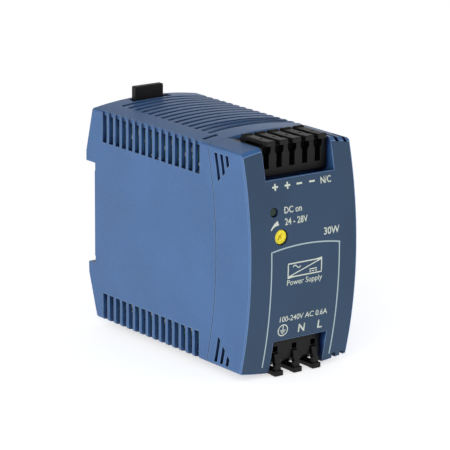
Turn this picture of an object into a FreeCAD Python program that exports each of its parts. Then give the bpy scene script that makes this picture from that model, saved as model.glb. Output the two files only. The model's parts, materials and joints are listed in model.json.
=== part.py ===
"""DIN rail power supply: a slim plastic case that clips on a 35 mm rail.

Millimetres. +X is to the right seen from the front, the front faces -Y, +Z is up.
The origin is the centre of the rear face that rests on the rail's front.
"""
import FreeCAD
import Part

import math
import os

from FreeCAD import Vector

# ---------------------------------------------------------------- case
WIDTH = 45.0
SIDE_HEIGHT = 75.0
CROWN = 2.0                      # rise of the top and bottom towards the middle
FRONT_Y = -91.0                  # front-most line of the bowed face
FRONT_BOW = 5.0                  # how far the face falls back at its top and bottom
COVER_DEPTH = 19.0               # front cover, measured back from the face
WALL = 1.5
SEAM = 0.25
EDGE_ROUND = 0.9
FACE_BEVEL = 0.4
FACE_CHAMFER = 1.1

# ---------------------------------------------------------------- rail side
RAIL_HALF = 18.2                 # half height of the recess for a 35 mm rail
UPPER_SHOULDER = ((5.2, 18.2), (5.2, 21.8), (1.1, 37.5))     # rear outline (y, z), above the rail
LOWER_SHOULDER = ((3.9, 18.2), (3.8, 22.0), (-1.3, 37.5))    # and below it, (y, -z)
SEAT_HALF = 15.4                 # half height of the face that touches the rail
SEAT_RELIEF = 0.3                # step back beyond it, under the lip and the claw
LIP_REACH = 2.7
LIP_FRONT = 1.6
LIP_HALF_WIDTH = 18.0

# ---------------------------------------------------------------- latch
SLOT_X = (-8.6, 8.0)
SLOT_Y = (-4.0, -0.8)
SLIDER_X = (-8.2, 7.6)
SLIDER_Y = (-3.75, -1.05)
SLIDER_Z = (-24.0, 37.4)
TAB_X = (-7.55, 4.35)
TAB_TOP = 44.1
TAB_ROUND = 0.45
LATCH_TRAVEL = 3.5
CLAW_HALF_WIDTH = 6.0
CHANNEL_WALL = 1.2
SPRING_X = -0.3
SPRING_Y = -2.4
SPRING_COIL = 2.2
SPRING_WIRE = 0.36
SPRING_BOTTOM = -33.2
SPRING_TURNS = 7

# ---------------------------------------------------------------- vents
VENT_COUNT = 15
VENT_FIRST_Y = -6.3
VENT_PITCH = 3.93
SIDE_VENT = 2.65
TOP_VENT = 1.9
TOP_VENT_START = -15.0
SHORT_VENT_X = (-20.2, -14.1)
CLOSED_VENT_Z = (26.6, 36.2)
CLOSED_VENT_NOTCH = 0.75         # its shallow end in the case's upper edge
OPEN_VENT_Z = 28.0
COVER_VENT = 1.6
UPPER_COVER_VENTS = ((4.1, 26.1, 35.6), (7.2, 28.4, 35.6), (10.2, 31.5, 35.6))
LOWER_COVER_VENTS = ((4.9, 27.0, 36.3), (8.1, 29.8, 36.3), (11.3, 32.5, 36.3))
CHEEK_SLOTS = ((16.4, 17.8, 36.0), (19.7, 21.1, 35.7))       # x range and floor
CHEEK_SLOT_DEPTH = 12.0          # back from the front-most line of the face
LOWER_CHEEK_SLOT_Z = -36.6

# ---------------------------------------------------------------- face
LABEL = 0.25
LABEL_RECESS = 0.3
LABEL_HALF_WIDTH = 21.9
LABEL_TOP_MARGIN = 1.3           # below the case's crowned top edge
LABEL_MARGIN = 0.35              # inside its crowned bottom edge
LABEL_GAP = 0.1
OPENING_RIM = 0.15
LED = (-11.9, 17.4)
LED_R = 1.5
LED_SETBACK = 0.6
TRIMMER = (-9.3, 8.8)
TRIMMER_SETBACK = 0.7
TRIMMER_R = 2.5
TRIMMER_SHANK_R = 1.6

# ---------------------------------------------------------------- terminals
POCKET_WALL = 1.2
TROUGH_DEPTH = 3.0               # hollow in front of and under the output block
TROUGH_Y = (-87.2, -80.5)
BLOCK_REAR = -68.0
BLOCK_INNER_Z = 28.1
BLOCK_OUTER_Z = 38.6
HOLE_Z = 31.9
PIVOT_Z = 37.4
BARREL_Z = 39.7
BARREL_R = 1.3
LUG_R = 1.5
AXLE_R = 0.6
FIT = 0.05
LEVER_HALF = 1.7
LEVER_POCKET = 2.0
TAB_HALF = 1.75
TAB_RECESS = 5.7                 # driver recess, back from the tab's front
NECK_HALF = 0.95
CHANNEL_HALF = 1.15
OUT_POLES = [5.35 * (i - 2) - 0.25 for i in range(5)]
OUT_BLOCK_X = (-14.3, 14.3)
OUT_OPENING_X = (-14.4, 14.4)
OUT_BLOCK_FRONT = -84.0
OUT_PIVOT_Y = -73.5
OUT_TAB_FRONT = -86.7
IN_POLES = [0.85 + 7.95 * (i - 1) for i in range(3)]
IN_BLOCK_X = (-10.2, 11.8)
IN_OPENING_X = (-10.5, 12.1)
IN_BLOCK_FRONT = -85.0
IN_PIVOT_Y = -74.2
IN_TAB_FRONT = -87.4
OPENING_Z = 28.0
IN_LIFT = 0.5                    # the lower terminals sit this much nearer the middle

# ---------------------------------------------------------------- boards
FRONT_BOARD_Y = (-67.4, -65.8)
MAIN_BOARD_X = (-17.0, -15.4)
BOARD_TOP = -15.4                # component side of the main board

FAR = 60.0


# ---------------------------------------------------------------- helpers
def box(x0, x1, y0, y1, z0, z1):
    return Part.makeBox(x1 - x0, y1 - y0, z1 - z0, Vector(x0, y0, z0))


def soft_box(x0, x1, y0, y1, z0, z1, r):
    solid = box(x0, x1, y0, y1, z0, z1)
    return solid.makeFillet(r, solid.Edges)


def rod_x(x0, x1, y, z, r):
    return Part.makeCylinder(r, x1 - x0, Vector(x0, y, z), Vector(1, 0, 0))


def rod_y(y0, y1, x, z, r):
    return Part.makeCylinder(r, y1 - y0, Vector(x, y0, z), Vector(0, 1, 0))


def rod_z(z0, z1, x, y, r):
    return Part.makeCylinder(r, z1 - z0, Vector(x, y, z0), Vector(0, 0, 1))


def plate_yz(points, x0, x1):
    """A polygon given as (y, z) points, extruded from x0 to x1."""
    corners = [Vector(x0, y, z) for y, z in points]
    wire = Part.makePolygon(corners + corners[:1])
    return Part.Face(wire).extrude(Vector(x1 - x0, 0, 0))


def plate_xz(points, y0, y1):
    """A polygon given as (x, z) points, extruded from y0 to y1."""
    corners = [Vector(x, y0, z) for x, z in points]
    wire = Part.makePolygon(corners + corners[:1])
    return Part.Face(wire).extrude(Vector(0, y1 - y0, 0))


def strip_yz(points, thickness, x0, x1):
    """A bent metal strip: runs between (y, z) points, with a round at each bend."""
    pieces = []
    for (ya, za), (yb, zb) in zip(points, points[1:]):
        length = math.hypot(yb - ya, zb - za)
        ny = -(zb - za) / length * thickness / 2
        nz = (yb - ya) / length * thickness / 2
        run = [(ya + ny, za + nz), (yb + ny, zb + nz), (yb - ny, zb - nz), (ya - ny, za - nz)]
        pieces.append(plate_yz(run, x0, x1))
    for y, z in points[1:-1]:
        pieces.append(rod_x(x0, x1, y, z, thickness / 2))
    return fuse(pieces)


def fuse(pieces):
    solid = pieces[0].multiFuse(pieces[1:]) if len(pieces) > 1 else pieces[0]
    return solid.removeSplitter()


def pick(shape, keep):
    """Edges whose middle point passes the test keep(point, direction)."""
    found = []
    for edge in shape.Edges:
        middle = (edge.FirstParameter + edge.LastParameter) / 2
        if keep(edge.valueAt(middle), edge.tangentAt(middle)):
            found.append(edge)
    return found


def turned(shape):
    """The same shape turned half a turn about the Y axis."""
    copy = shape.copy()
    copy.rotate(Vector(0, 0, 0), Vector(0, 1, 0), 180)
    return copy


def lower(shape):
    """A piece of the upper terminals, mirrored to its place in the lower ones."""
    copy = shape.mirror(Vector(0, 0, 0), Vector(0, 0, 1))
    copy.translate(Vector(0, 0, IN_LIFT))
    return copy


def bow_radius(bow, half):
    return (half * half + bow * bow) / (2 * bow)


# ---------------------------------------------------------------- case shapes
HALF_W = WIDTH / 2
HALF_H = SIDE_HEIGHT / 2
CROWN_R = bow_radius(CROWN, HALF_W)
FACE_R = bow_radius(FRONT_BOW, HALF_H)
FACE_CENTRE_Y = FRONT_Y + FACE_R


def face_y(z, inset=0.0):
    """Y of the bowed face at height z, or of a surface that far behind it."""
    r = FACE_R - inset
    return FACE_CENTRE_Y - math.sqrt(r * r - z * z)


def seam_y(z):
    """Y of the seam: the face's own curve, moved back by the cover's depth."""
    return face_y(z) + COVER_DEPTH


def crowned_bar(inset):
    """The case's front outline, with crowned top and bottom, along the whole depth."""
    w = HALF_W - inset
    h = HALF_H - inset
    rise = HALF_H + CROWN - inset
    y0 = FRONT_Y - 5
    edges = [
        Part.Arc(Vector(-w, y0, -h), Vector(0, y0, -rise), Vector(w, y0, -h)).toShape(),
        Part.LineSegment(Vector(w, y0, -h), Vector(w, y0, h)).toShape(),
        Part.Arc(Vector(w, y0, h), Vector(0, y0, rise), Vector(-w, y0, h)).toShape(),
        Part.LineSegment(Vector(-w, y0, h), Vector(-w, y0, -h)).toShape(),
    ]
    return Part.Face(Part.Wire(edges)).extrude(Vector(0, 15 - y0, 0))


def bowed_bar(front, rear_points):
    """Everything between the curve y = front(z) and the rear outline, given top to bottom."""
    top = rear_points[0][1]
    x0 = -HALF_W - 5
    arc = Part.Arc(
        Vector(x0, front(-top), -top), Vector(x0, front(0), 0), Vector(x0, front(top), top)
    ).toShape()
    corners = [Vector(x0, y, z) for y, z in rear_points]
    corners = [Vector(x0, front(top), top)] + corners + [Vector(x0, front(-top), -top)]
    lines = [Part.makeLine(a, b) for a, b in zip(corners, corners[1:])]
    return Part.Face(Part.Wire([arc] + lines)).extrude(Vector(WIDTH + 10, 0, 0))


def rear_outline(inset):
    """Rear of the case from its top to its bottom, as (y, z) points."""
    outline = []
    for points, side in ((UPPER_SHOULDER, 1), (LOWER_SHOULDER, -1)):
        (y0, z0), (y1, z1), (y2, z2) = points
        half = [(-inset, z0 + inset), (y0 - inset, z0 + inset), (y1 - inset, z1)]
        half += [(y2 - inset, z2 - inset / 2), (y2 - inset, 42.0)]
        half = [(y, side * z) for y, z in half]
        outline += reversed(half) if side > 0 else half
    return outline


def case_outer():
    outer = crowned_bar(0).common(bowed_bar(face_y, rear_outline(0)))
    side = HALF_W - 0.01
    top_edges = pick(outer, lambda p, d: p.z > 39 and p.y < -80 and abs(d.x) > 0.9)
    outer = outer.makeChamfer(FACE_CHAMFER, top_edges)
    face_edges = pick(outer, lambda p, d: abs(p.x) > side and p.y < -85 and abs(d.z) > 0.9)
    outer = outer.makeChamfer(FACE_BEVEL, face_edges)
    long_edges = pick(outer, lambda p, d: abs(p.x) > side and abs(d.y) > 0.9 and abs(p.z) > 30)
    return outer.makeFillet(EDGE_ROUND, long_edges)


def case_cavity():
    inner = bowed_bar(lambda z: face_y(z, WALL), rear_outline(WALL))
    return crowned_bar(WALL).common(inner)


def before_seam(shift=0.0):
    """All space in front of the seam, with the seam moved back by shift."""
    def limit(z):
        return seam_y(z) + shift
    far = [(limit(42.0), 42.0), (FRONT_Y - 20, 42.0), (FRONT_Y - 20, -42.0), (limit(42.0), -42.0)]
    x0 = -HALF_W - 6
    arc = Part.Arc(
        Vector(x0, limit(42), -42), Vector(x0, limit(0), 0), Vector(x0, limit(42), 42)
    ).toShape()
    corners = [Vector(x0, y, z) for y, z in far]
    lines = [Part.makeLine(a, b) for a, b in zip(corners, corners[1:])]
    return Part.Face(Part.Wire([arc] + lines)).extrude(Vector(WIDTH + 12, 0, 0))


def output_opening():
    return box(*OUT_OPENING_X, FRONT_Y - 5, FAR, OPENING_Z, 45)


def input_opening():
    return box(*IN_OPENING_X, FRONT_Y - 5, FAR, -45, IN_LIFT - OPENING_Z)


# ---------------------------------------------------------------- main housing
def upper_vents(index):
    """One row of vents: left side closed slot, crowned top slot, right side open slot."""
    y = VENT_FIRST_Y - VENT_PITCH * index
    side = SIDE_VENT / 2
    top = TOP_VENT / 2
    cuts = [box(-HALF_W - 1, -HALF_W + WALL + 0.5, y - side, y + side, *CLOSED_VENT_Z)]
    notch = -HALF_W + CLOSED_VENT_NOTCH
    cuts.append(box(-HALF_W - 1, notch, y - side, y + side, CLOSED_VENT_Z[1] - 0.5, 41))
    last = index == VENT_COUNT - 1
    if last:
        cuts.append(box(SHORT_VENT_X[0], SHORT_VENT_X[1], y - top, y + top, HALF_H - 2.2, 41))
    else:
        cuts.append(box(TOP_VENT_START, HALF_W + 1, y - top, y + top, HALF_H - 2.2, 41))
    cuts.append(box(HALF_W - WALL - 0.5, HALF_W + 1, y - side, y + side, OPEN_VENT_Z, 41))
    return cuts


def latch_housing():
    """Solid rib down the rear wall that the latch runs in."""
    x0 = SLOT_X[0] - CHANNEL_WALL - 0.8
    x1 = SLOT_X[1] + CHANNEL_WALL + 0.8
    return box(x0, x1, SLOT_Y[0] - CHANNEL_WALL, 8, -42, 42)


def latch_cuts():
    low = SLIDER_Z[0] - LATCH_TRAVEL - 0.6
    claw = CLAW_HALF_WIDTH + 0.4
    return [
        box(SLOT_X[0], SLOT_X[1], SLOT_Y[0], SLOT_Y[1], low, 45),
        box(-claw, claw, SLOT_Y[0], 8, low, -RAIL_HALF),
        box(SPRING_X - 1.7, SPRING_X + 1.7, SLOT_Y[0], SLOT_Y[1], SPRING_BOTTOM, low),
    ]


def board_guides(outer):
    """Grooved blocks on the rear wall that hold the main board's rear edge."""
    guides = []
    for z in (-31.0, 27.0):
        block = box(-18.6, -13.8, -11.0, 6.0, z, z + 4).common(outer)
        groove = box(MAIN_BOARD_X[0] - 0.1, MAIN_BOARD_X[1] + 0.1, -12.0, -7.8, z - 1, z + 5)
        guides.append(block.cut(groove))
    return guides


def housing_shell(outer, cavity):
    rear_block = latch_housing().common(outer)
    shell = outer.cut(cavity).fuse([rear_block] + board_guides(outer))
    lip = plate_yz(
        [
            (LIP_FRONT, RAIL_HALF + 0.5),
            (LIP_FRONT, RAIL_HALF - LIP_REACH + 0.8),
            (LIP_FRONT + 0.8, RAIL_HALF - LIP_REACH),
            (UPPER_SHOULDER[0][0] - 0.8, RAIL_HALF - LIP_REACH),
            (UPPER_SHOULDER[0][0] - 0.1, RAIL_HALF - LIP_REACH + 0.7),
            (UPPER_SHOULDER[0][0] - 0.1, RAIL_HALF + 0.3),
        ],
        -LIP_HALF_WIDTH,
        LIP_HALF_WIDTH,
    )
    shell = shell.fuse(lip).cut(before_seam())
    relief = box(-HALF_W - 1, HALF_W + 1, -SEAT_RELIEF, 1, SEAT_HALF, RAIL_HALF)
    cuts = latch_cuts() + [relief, turned(relief)]
    for index in range(VENT_COUNT):
        row = upper_vents(index)
        cuts += row + [turned(cut) for cut in row]
    return shell.cut(cuts).removeSplitter()


# ---------------------------------------------------------------- front cover
def cover_vent(depth, z_low, z_high, side):
    """A slot through one side wall of the cover, parallel to the seam."""
    front = [(seam_y(z) - depth - COVER_VENT / 2, z) for z in (z_low + 1.2, z_high)]
    back = [(seam_y(z) - depth + COVER_VENT / 2, z) for z in (z_high, z_low)]
    middle = (z_low + z_high) / 2
    front.insert(1, (seam_y(middle) - depth - COVER_VENT / 2, middle))
    back.insert(1, (seam_y(middle) - depth + COVER_VENT / 2, middle))
    x0 = side * HALF_W
    return plate_yz(front + back, x0 - WALL - 0.5, x0 + WALL + 0.5)


def cover_cuts():
    cuts = []
    for depth, low, high in UPPER_COVER_VENTS:
        cuts.append(cover_vent(depth, low, high, -1))
    for depth, low, high in LOWER_COVER_VENTS:
        cuts.append(cover_vent(depth, low, high, 1))
    cuts += [turned(cut) for cut in cuts]
    for x0, x1, z in CHEEK_SLOTS:
        rear = FRONT_Y + CHEEK_SLOT_DEPTH
        cuts.append(box(x0, x1, FRONT_Y - 1, rear, z, 41))
        cuts.append(box(x0, x1, FRONT_Y - 1, rear, -41, LOWER_CHEEK_SLOT_Z))
    cuts.append(rod_y(FRONT_Y - 1, FRONT_Y + 5, LED[0], LED[1], LED_R + 0.1))
    cuts.append(rod_y(FRONT_Y - 1, FRONT_Y + 5, TRIMMER[0], TRIMMER[1], TRIMMER_R + 0.2))
    return cuts


def cover_skirt():
    """Thin ring on the cover's rear edge that plugs into the housing."""
    ring = crowned_bar(WALL + 0.1).cut(crowned_bar(WALL + 1.0))
    root = crowned_bar(WALL - 0.2).cut(crowned_bar(WALL + 1.0))
    ring = ring.common(before_seam(3.0)).cut(before_seam(-1.6))
    return ring.fuse(root.common(before_seam(-SEAM)).cut(before_seam(-1.6)))


def label_space(inset, top, bottom):
    """Band just under the face, between two depths, inside the label's outline."""
    w = LABEL_HALF_WIDTH - inset
    front = Part.makeCylinder(FACE_R - top, 2 * w, Vector(-w, FACE_CENTRE_Y, 0), Vector(1, 0, 0))
    back = Part.makeCylinder(FACE_R - bottom, 2 * w, Vector(-w, FACE_CENTRE_Y, 0), Vector(1, 0, 0))
    frame = box(-w, w, FRONT_Y - 1, FRONT_Y + 8, -41, 41)
    top_edge = crowned_bar(0)
    top_edge.translate(Vector(0, 0, -LABEL_TOP_MARGIN - inset))
    frame = frame.common(crowned_bar(LABEL_MARGIN + inset)).common(top_edge)
    return frame.common(front.cut(back))


def label_keep_out(inset):
    rim = OPENING_RIM + inset
    output_side = box(OUT_OPENING_X[0] - rim, OUT_OPENING_X[1] + rim, -99, 0, OPENING_Z - rim, 45)
    low_z = IN_LIFT - OPENING_Z + rim
    input_side = box(IN_OPENING_X[0] - rim, IN_OPENING_X[1] + rim, -99, 0, -45, low_z)
    return [output_side, input_side]


def front_cover(outer, cavity):
    shell = outer.cut(cavity).common(before_seam(-SEAM))
    space = outer.common(before_seam(-SEAM))
    pockets = []
    low_z = IN_LIFT - OPENING_Z + POCKET_WALL
    trough_z = OPENING_Z - TROUGH_DEPTH
    for (x0, x1), z0, z1 in ((OUT_OPENING_X, trough_z - POCKET_WALL, 42), (IN_OPENING_X, -42, low_z)):
        pocket = box(x0 - POCKET_WALL, x1 + POCKET_WALL, FRONT_Y - 1, -60, z0, z1)
        pockets.append(pocket.common(space))
    cover = shell.fuse(pockets + [cover_skirt()])
    recess = label_space(0, -1.0, LABEL_RECESS).cut(label_keep_out(0))
    trough = box(*OUT_OPENING_X, *TROUGH_Y, trough_z, OPENING_Z + 1)
    cuts = [output_opening(), input_opening(), trough, recess] + cover_cuts()
    return cover.cut(cuts).removeSplitter()


def front_label():
    foil = label_space(LABEL_GAP, LABEL_RECESS - LABEL, LABEL_RECESS).cut(label_keep_out(LABEL_GAP))
    holes = [
        rod_y(-95, -80, LED[0], LED[1], LED_R + 0.15),
        rod_y(-95, -80, TRIMMER[0], TRIMMER[1], TRIMMER_R + 0.25),
    ]
    for x0, x1, _ in CHEEK_SLOTS:
        holes.append(box(x0 - 0.1, x1 + 0.1, -95, -80, -41, LOWER_CHEEK_SLOT_Z + 0.1))
    return foil.cut(holes)


# ---------------------------------------------------------------- latch
def latch_slider():
    plate = box(*SLIDER_X, *SLIDER_Y, *SLIDER_Z)
    tab = soft_box(*TAB_X, *SLIDER_Y, SLIDER_Z[1] - 2, TAB_TOP, TAB_ROUND)
    rear = LOWER_SHOULDER[1][0]
    claw = plate_yz(
        [
            (SLIDER_Y[1] - 0.5, SLIDER_Z[0]),
            (rear - 0.8, SLIDER_Z[0]),
            (rear, -LOWER_SHOULDER[1][1]),
            (rear, -RAIL_HALF + LIP_REACH - 0.9),
            (LIP_FRONT + 0.9, -RAIL_HALF + LIP_REACH),
            (LIP_FRONT, -RAIL_HALF + LIP_REACH),
            (LIP_FRONT, -RAIL_HALF - 0.4),
            (SLIDER_Y[1] - 0.5, -RAIL_HALF - 0.4),
        ],
        -CLAW_HALF_WIDTH,
        CLAW_HALF_WIDTH,
    )
    return fuse([plate, tab, claw])


def latch_spring():
    """Compression coil under the slider; its ends sit flat in the housing's pocket."""
    height = SLIDER_Z[0] - SPRING_BOTTOM - SPRING_WIRE
    coil_r = SPRING_COIL / 2
    helix = Part.makeHelix(height / SPRING_TURNS, height, coil_r)
    section = Part.makeCircle(SPRING_WIRE / 2, Vector(coil_r, 0, 0), Vector(0, 1, 0))
    coil = Part.Wire(helix.Edges).makePipeShell([Part.Wire([section])], True, True)
    coil.translate(Vector(SPRING_X, SPRING_Y, SPRING_BOTTOM + SPRING_WIRE / 2))
    return coil


# ---------------------------------------------------------------- levers
def lever(x, pivot_y, tab_front, neck, tab_z):
    """A clamp lever over a wire entry, drawn as the upper, output side one."""
    x0 = x - LEVER_HALF
    x1 = x + LEVER_HALF
    bar_low = BLOCK_OUTER_Z + 0.4
    pieces = [
        rod_x(x0, x1, pivot_y, BARREL_Z, BARREL_R),
        rod_x(x0, x1, pivot_y, PIVOT_Z, LUG_R),
        box(x0, x1, pivot_y - LUG_R, pivot_y + LUG_R, PIVOT_Z, BARREL_Z),
        soft_box(x0, x1, tab_front + 0.6, pivot_y + 0.6, bar_low, tab_z[1] - 0.12, 0.25),
        soft_box(x - TAB_HALF, x + TAB_HALF, tab_front, tab_front + 2.6, tab_z[0], tab_z[1], 0.3),
        plate_yz(neck, x - NECK_HALF, x + NECK_HALF),
    ]
    solid = fuse(pieces)
    recess_y = tab_front + TAB_RECESS
    recess = box(x - 0.5, x + 0.5, recess_y - 0.5, recess_y + 0.5, tab_z[1] - 0.8, tab_z[1] + 1)
    bore = rod_x(x0 - 1, x1 + 1, pivot_y, PIVOT_Z, AXLE_R + FIT)
    return solid.cut([recess, bore]).removeSplitter()


def output_lever(x):
    neck = [(-83.6, 39.4), (-82.2, 39.4), (-81.8, 38.3), (-82.5, 37.9), (-83.2, 38.3)]
    return lever(x, OUT_PIVOT_Y, OUT_TAB_FRONT, neck, (38.9, 40.65))


def input_lever(x):
    neck = [(-86.6, 39.4), (-85.2, 39.4), (-84.3, 33.5), (-84.8, 33.2), (-85.6, 33.5), (-86.6, 36.6)]
    upper = lever(x, IN_PIVOT_Y, IN_TAB_FRONT, neck, (38.9, 40.8))
    foot = soft_box(x - 1.25, x + 1.25, IN_TAB_FRONT + 0.6, -85.3, 36.7, 39.6, 0.25)
    return lower(fuse([upper, foot]))


def lever_axle(x_range, y, z):
    return rod_x(x_range[0] + 0.5, x_range[1] - 0.5, y, z, AXLE_R)


# ---------------------------------------------------------------- terminal blocks
def block_body(x_range, front, pivot_y, poles):
    """Moulded block with a lever pocket, a clamp chamber and an axle bore for each pole."""
    body = soft_box(*x_range, front, BLOCK_REAR, BLOCK_INNER_Z, BLOCK_OUTER_Z, 0.3)
    cuts = [rod_x(x_range[0] + 0.45, x_range[1] - 0.45, pivot_y, PIVOT_Z, AXLE_R + FIT)]
    for x in poles:
        cuts.append(box(x - LEVER_POCKET, x + LEVER_POCKET, pivot_y - 2.6, FAR, 35.7, 42))
        cuts.append(box(x - 1.6, x + 1.6, -80.5, -69.6, 29.6, 35.0))
        cuts.append(box(x - 1.0, x + 1.0, front - 1, -80, HOLE_Z - 0.95, HOLE_Z + 0.95))
        cuts.append(box(x - 0.55, x + 0.55, -70, BLOCK_REAR + 1, 31.75, 32.25))
    return body.cut(cuts)


def output_terminal_block():
    body = block_body(OUT_BLOCK_X, OUT_BLOCK_FRONT, OUT_PIVOT_Y, OUT_POLES)
    cuts = []
    for x in OUT_POLES:
        outline = [(-CHANNEL_HALF, 32.0), (-CHANNEL_HALF, 35.3), (-1.8, 36.4), (-1.8, 40.0)]
        outline = outline + [(-px, pz) for px, pz in reversed(outline)]
        outline = [(x + px, pz) for px, pz in outline]
        cuts.append(plate_xz(outline, OUT_BLOCK_FRONT - 1, -81.2))
        cuts.append(box(x - CHANNEL_HALF, x + CHANNEL_HALF, -84, -82.2, HOLE_Z - 1.1, 33))
    return body.cut(cuts).removeSplitter()


def input_terminal_block():
    body = block_body(IN_BLOCK_X, IN_BLOCK_FRONT, IN_PIVOT_Y, IN_POLES)
    cuts = [plate_yz([(-86, 35.9), (-85, 35.9), (-81, 38.7), (-81, 40), (-86, 40)], -20, 20)]
    for x in IN_POLES:
        cuts.append(box(x - CHANNEL_HALF, x + CHANNEL_HALF, -86, -84.1, 33.1, 40))
    return lower(body.cut(cuts).removeSplitter())


def contact_bar(x):
    """Tinned copper bar under the wire, with a tail through the board behind it."""
    run = [(-80.2, 29.95), (-70.1, 29.95), (-70.1, 32.0)]
    bar = strip_yz(run, 0.6, x - 1.3, x + 1.3)
    tail = box(x - 0.5, x + 0.5, -70.2, -64.6, 31.8, 32.2)
    return fuse([bar, tail])


def clamp_spring(x):
    """Leaf that presses the wire on the bar."""
    run = [(-71.4, 31.4), (-71.4, 34.3), (-78.8, 34.3), (-79.6, 33.4), (-76.6, 30.75)]
    return strip_yz(run, 0.3, x - 1.2, x + 1.2)


def for_poles(poles, make, below=False):
    pieces = [make(x) for x in poles]
    return [lower(piece) for piece in pieces] if below else pieces


# ---------------------------------------------------------------- front board and its parts
def front_board():
    board = box(-18.6, 18.6, *FRONT_BOARD_Y, -33, 33)
    holes = [box(x - 0.55, x + 0.55, -70, -60, 31.75, 32.25) for x in OUT_POLES]
    holes += [lower(box(x - 0.55, x + 0.55, -70, -60, 31.75, 32.25)) for x in IN_POLES]
    return board.cut(holes)


def led_light_pipe():
    front = face_y(LED[1]) + LED_SETBACK
    pipe = rod_y(front, -69.2, LED[0], LED[1], LED_R)
    flange = rod_y(front + 2.8, front + 3.6, LED[0], LED[1], LED_R + 0.7)
    rim = pick(pipe, lambda p, d: p.y < front + 0.1)
    return fuse([pipe.makeFillet(0.35, rim[:1]), flange])


def status_led():
    return soft_box(LED[0] - 1.0, LED[0] + 1.0, -68.6, FRONT_BOARD_Y[0], LED[1] - 0.8, LED[1] + 0.8, 0.15)


def trimmer_body():
    x, z = TRIMMER
    body = soft_box(x - 4.6, x + 4.6, -73.6, FRONT_BOARD_Y[0], z - 4.8, z + 4.8, 0.3)
    return body.cut(rod_y(-75, -69.4, x, z, TRIMMER_SHANK_R + FIT))


def trimmer_rotor():
    x, z = TRIMMER
    front = face_y(z) + TRIMMER_SETBACK
    head = rod_y(front, -74.0, x, z, TRIMMER_R)
    rim = pick(head, lambda p, d: p.y < front + 0.1)
    head = head.makeFillet(0.3, rim[:1])
    shank = rod_y(-75.0, -69.8, x, z, TRIMMER_SHANK_R)
    dish = Part.makeCone(1.85, 1.55, 0.45, Vector(x, front - 0.1, z), Vector(0, 1, 0))
    slot = box(x - 1.35, x + 1.35, front - 1, front + 1.2, z - 0.3, z + 0.3)
    slot.rotate(Vector(x, 0, z), Vector(0, 1, 0), -50)
    cross = box(x - 0.75, x + 0.75, front - 1, front + 1.2, z - 0.3, z + 0.3)
    cross.rotate(Vector(x, 0, z), Vector(0, 1, 0), 40)
    return fuse([head, shank]).cut([dish, slot, cross]).removeSplitter()


# ---------------------------------------------------------------- main board and its parts
def main_board():
    board = box(*MAIN_BOARD_X, -65.4, -8, -33.5, 33.5)
    return board


def board_header():
    return soft_box(BOARD_TOP, BOARD_TOP + 2.6, FRONT_BOARD_Y[1] + 0.05, -62.7, -4.6, 1.2, 0.2)


TRANSFORMER_Y = -30.0
TRANSFORMER_Z = 6.0


def transformer_core():
    y = TRANSFORMER_Y
    z = TRANSFORMER_Z
    frame = soft_box(-12.5, 8.5, y - 7.5, y + 7.5, z - 13, z + 13, 0.4)
    windows = [
        box(-9, -5.5, y - 9, y + 9, z - 9.5, z + 9.5),
        box(1.5, 5, y - 9, y + 9, z - 9.5, z + 9.5),
    ]
    return frame.cut(windows)


def around_leg(outer, y_reach, z_half, leg_gap):
    """A block round the core's middle leg: x range outer, y_reach past the leg."""
    y = TRANSFORMER_Y
    z = TRANSFORMER_Z
    block = box(outer[0], outer[1], y - y_reach, y + y_reach, z - z_half, z + z_half)
    leg = box(-5.5 - leg_gap, 1.5 + leg_gap, y - 7.5 - leg_gap, y + 7.5 + leg_gap, z - 20, z + 20)
    return block, leg


def transformer_bobbin():
    y = TRANSFORMER_Y
    z = TRANSFORMER_Z
    pieces = []
    for low in (z - 9.3, z + 8.6):
        plate = box(-8.8, 4.8, y - 11.5, y + 11.5, low, low + 0.7)
        pieces.append(plate)
    tube, leg = around_leg((-6.2, 2.2), 8.2, 9.3, 0.1)
    pieces.append(tube)
    for side in (-1, 1):
        foot = sorted((y + side * 7.8, y + side * 11.5))
        pieces.append(box(BOARD_TOP, -8.5, foot[0], foot[1], z - 9.3, z + 9.3))
    solid = pieces[0].multiFuse(pieces[1:])
    return solid.cut(leg).removeSplitter()


def transformer_winding():
    block, _ = around_leg((-8.4, 4.4), 11.0, 8.4, 0)
    edges = pick(block, lambda p, d: abs(d.z) > 0.9)
    block = block.makeFillet(2.5, edges)
    _, hole = around_leg((-8.4, 4.4), 11.0, 8.4, 0.8)
    return block.cut(hole)


def standing_can(y, z, r, height):
    """Radial capacitor on the main board: a can with a rounded rolled end."""
    top = BOARD_TOP + 0.2 + height
    can = rod_x(BOARD_TOP + 0.2, top, y, z, r)
    ends = pick(can, lambda p, d: abs(p.x - top) < 0.01)
    can = can.makeFillet(0.6, ends[:1])
    groove = rod_x(BOARD_TOP + 1.8, BOARD_TOP + 2.6, y, z, r + 1)
    groove = groove.cut(rod_x(BOARD_TOP + 1.7, BOARD_TOP + 2.7, y, z, r - 0.35))
    return can.cut(groove)


def bulk_capacitor():
    return standing_can(-54.0, -13.0, 8.0, 25.0)


def output_capacitors():
    places = ((-57.5, 6.5, 5.0, 18.0), (-57.5, 17.5, 5.0, 18.0), (-58.0, 27.8, 4.0, 12.0))
    return [standing_can(y, z, r, height) for y, z, r, height in places]


def x_capacitor():
    return soft_box(BOARD_TOP + 0.2, -1.5, -47, -29, -32.8, -24.8, 0.5)


def choke_core():
    return Part.makeTorus(6.3, 2.2, Vector(BOARD_TOP + 4.6, -19.5, -23.0), Vector(1, 0, 0))


def choke_windings():
    """Two coils on the ring core, each over a little more than a third of it."""
    centre = Vector(BOARD_TOP + 4.6, -19.5, -23.0)
    thick = Part.makeTorus(6.3, 3.2, centre, Vector(1, 0, 0))
    hollow = Part.makeTorus(6.3, 2.25, centre, Vector(1, 0, 0))
    ring = thick.cut(hollow)
    gap = box(-30, 5, centre.y - 2.6, centre.y + 2.6, centre.z - 12, centre.z + 12)
    return ring.cut(gap).Solids


def fuse_link():
    return rod_x(BOARD_TOP + 0.1, BOARD_TOP + 8.2, -59.3, -28.4, 4.2)


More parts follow.
